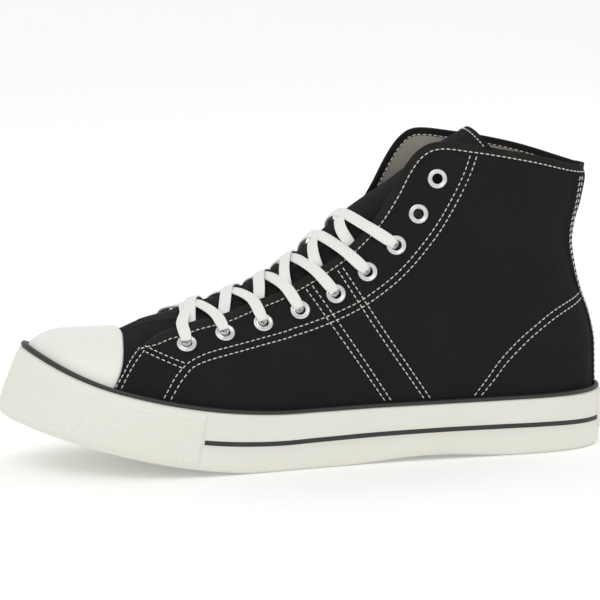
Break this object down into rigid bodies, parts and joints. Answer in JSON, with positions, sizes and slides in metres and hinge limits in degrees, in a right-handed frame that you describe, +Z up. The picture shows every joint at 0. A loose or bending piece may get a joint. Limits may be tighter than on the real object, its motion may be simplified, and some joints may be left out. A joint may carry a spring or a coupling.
{
  "type": "high top sneaker",
  "caption": "Left canvas high top sneaker with a white rubber sole, toe cap and toe bumper, metal eyelets and white cotton laces.",
  "frame": {"origin": "centre of the bounding box in plan, on the floor that the sole stands on", "axes": "+X from toe to heel, +Y towards the inner side of the foot, +Z up"},
  "size_m": [0.3024, 0.1032, 0.159],
  "materials": {
    "canvas": "near black cotton canvas with off-white seams",
    "lining": "plain light cotton lining",
    "white_rubber": "smooth off-white rubber, semi-matte",
    "dark_rubber": "dark rubber piping, semi-matte",
    "lace_cotton": "flat woven white cotton",
    "eyelet_metal": "bright rolled metal"
  },
  "bodies": {
    "root": {"outsole": "white_rubber", "foxing": "white_rubber", "foxing_piping": "dark_rubber", "toe_bumper": "white_rubber", "heel_label": "white_rubber", "toe_cap": "white_rubber", "upper": "canvas", "back_stay": "canvas", "tongue": "canvas", "insole": "lining", "eyelet_outer_1": "eyelet_metal", "eyelet_inner_1": "eyelet_metal", "eyelet_outer_2": "eyelet_metal", "eyelet_inner_2": "eyelet_metal", "eyelet_outer_3": "eyelet_metal", "eyelet_inner_3": "eyelet_metal", "eyelet_outer_4": "eyelet_metal", "eyelet_inner_4": "eyelet_metal", "eyelet_outer_5": "eyelet_metal", "eyelet_inner_5": "eyelet_metal", "eyelet_outer_6": "eyelet_metal", "eyelet_inner_6": "eyelet_metal", "eyelet_outer_7": "eyelet_metal", "eyelet_inner_7": "eyelet_metal", "eyelet_outer_8": "eyelet_metal", "eyelet_inner_8": "eyelet_metal", "eyelet_outer_9": "eyelet_metal", "eyelet_inner_9": "eyelet_metal", "lace_bar": "lace_cotton", "lace_crossing_1": "lace_cotton", "lace_crossing_2": "lace_cotton", "lace_crossing_3": "lace_cotton", "lace_crossing_4": "lace_cotton", "lace_crossing_5": "lace_cotton", "lace_crossing_6": "lace_cotton"}
  },
  "joints": []
}
